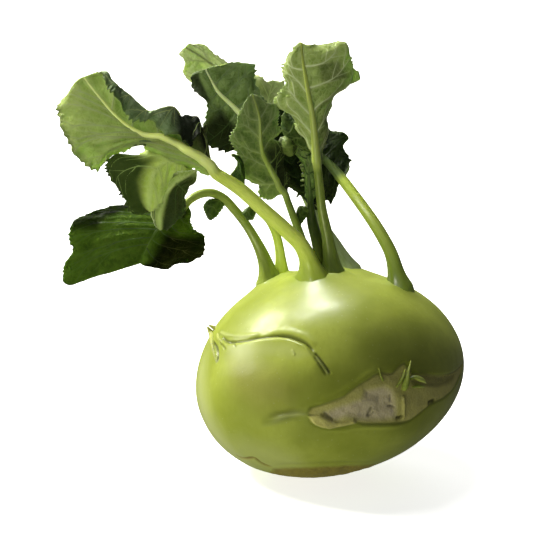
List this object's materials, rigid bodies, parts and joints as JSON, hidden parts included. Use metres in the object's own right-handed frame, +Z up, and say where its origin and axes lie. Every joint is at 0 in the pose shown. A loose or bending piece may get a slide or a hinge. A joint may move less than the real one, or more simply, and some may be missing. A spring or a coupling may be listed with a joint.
{
  "type": "kohlrabi",
  "caption": "Fresh green kohlrabi standing on its flattened base, with healed bark-like scars on the front and long upright stalks that carry notched leaves leaning to one side.",
  "frame": {"origin": "centre of the flat base that the bulb stands on", "axes": "+Z up; +X to the right and +Y to the back as seen from the scarred front side; the leaves lean towards -X"},
  "size_m": [0.1488, 0.0981, 0.1632],
  "materials": {
    "bulb_skin": "satin",
    "leaf_stalk": "satin",
    "leaf_blade": "matte",
    "dried_stub": "matte",
    "side_shoot": "satin"
  },
  "bodies": {
    "root": {"blade_back": "leaf_blade", "blade_heart": "leaf_blade", "blade_left_drooping": "leaf_blade", "blade_left_front": "leaf_blade", "blade_left_thin": "leaf_blade", "blade_middle": "leaf_blade", "blade_rear": "leaf_blade", "blade_right": "leaf_blade", "blade_upright": "leaf_blade", "bulb": "bulb_skin", "leaflet_left_drooping": "leaf_blade", "leaflet_left_front": "leaf_blade", "leaflet_left_thin": "leaf_blade", "leaflet_middle": "leaf_blade", "shoot_right": "side_shoot", "stem_back": "leaf_stalk", "stem_heart": "leaf_stalk", "stem_left_drooping": "leaf_stalk", "stem_left_front": "leaf_stalk", "stem_left_thin": "leaf_stalk", "stem_middle": "leaf_stalk", "stem_rear": "leaf_stalk", "stem_right": "leaf_stalk", "stem_upright": "leaf_stalk", "stub_left": "dried_stub"}
  },
  "joints": []
}
